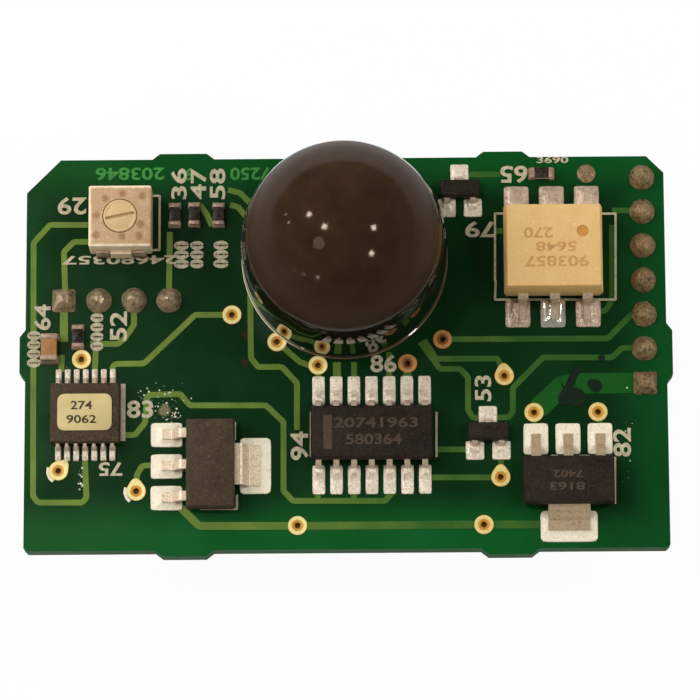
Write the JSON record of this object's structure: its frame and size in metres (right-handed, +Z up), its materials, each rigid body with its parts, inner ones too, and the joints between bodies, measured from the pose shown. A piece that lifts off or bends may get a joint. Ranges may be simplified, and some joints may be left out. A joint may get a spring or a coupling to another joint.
{
  "type": "presence detector board",
  "caption": "Plug-in presence detector circuit board: a motion sensor under a dome lens, a turnable trimmer, a relay, chips, and pin headers below.",
  "frame": {"origin": "centre of the board's underside", "axes": "+X along the board's long side, towards the long header; +Y towards the dome's long edge; +Z up out of the side that carries the parts"},
  "size_m": [0.047, 0.0296, 0.0223],
  "materials": {
    "solder_mask": "glass-epoxy board with green solder mask",
    "dark_dome": "satin lens on a glossy collar",
    "steel": "drawn steel",
    "filter": "dark infrared filter",
    "white_ceramic": "white ceramic",
    "dark_moulding": "dark brown-black moulding",
    "black_moulding": "black moulding",
    "cream_moulding": "cream moulding",
    "tinned": "tin plated",
    "brass_pin": "gold-coloured plating, tin solder on top",
    "paper": "cream label",
    "trimmer_body": "tan moulding",
    "rotor_body": "light tan moulding",
    "tan_ceramic": "tan ceramic between tinned ends"
  },
  "bodies": {
    "board": {"capacitor": "tan_ceramic", "chip_label": "paper", "circuit_board": "solder_mask", "large_chip": "dark_moulding", "left_regulator_body": "dark_moulding", "left_regulator_lead_1": "tinned", "left_regulator_lead_2": "tinned", "left_regulator_tab": "tinned", "lens_cap": "dark_dome", "long_header_housing": "black_moulding", "long_header_pin_1": "brass_pin", "long_header_pin_2": "brass_pin", "long_header_pin_3": "brass_pin", "long_header_pin_4": "brass_pin", "long_header_pin_5": "brass_pin", "long_header_pin_6": "brass_pin", "long_header_pin_7": "brass_pin", "lower_transistor_body": "dark_moulding", "lower_transistor_lead_1": "tinned", "lower_transistor_lead_2": "tinned", "lower_transistor_lead_3": "tinned", "relay_body": "cream_moulding", "relay_lead_1": "tinned", "relay_lead_2": "tinned", "relay_lead_3": "tinned", "relay_lead_4": "tinned", "relay_lead_5": "tinned", "relay_lead_6": "tinned", "resistor_1": "white_ceramic", "resistor_2": "white_ceramic", "resistor_3": "white_ceramic", "resistor_4": "white_ceramic", "resistor_5": "white_ceramic", "right_regulator_body": "dark_moulding", "right_regulator_lead_1": "tinned", "right_regulator_lead_2": "tinned", "right_regulator_tab": "tinned", "sensing_element": "white_ceramic", "sensor_base": "steel", "sensor_can": "steel", "sensor_lead_1": "tinned", "sensor_lead_2": "tinned", "sensor_lead_3": "tinned", "sensor_window": "filter", "short_header_housing": "black_moulding", "short_header_pin_1": "brass_pin", "short_header_pin_2": "brass_pin", "short_header_pin_3": "brass_pin", "short_header_pin_4": "brass_pin", "small_chip": "dark_moulding", "trimmer_housing": "trimmer_body", "trimmer_terminal_1": "tinned", "trimmer_terminal_2": "tinned", "trimmer_terminal_3": "tinned", "upper_transistor_body": "dark_moulding", "upper_transistor_lead_1": "tinned", "upper_transistor_lead_2": "tinned", "upper_transistor_lead_3": "tinned"},
    "rotor": {"trimmer_rotor": "rotor_body"}
  },
  "joints": [
    {"name": "trimmer_turn", "type": "hinge", "parent": "board", "child": "rotor", "pos_m": [-0.01618, 0.00957, 0.00415], "axis": [0, 0, 1], "range_deg": [-105, 105]}
  ]
}
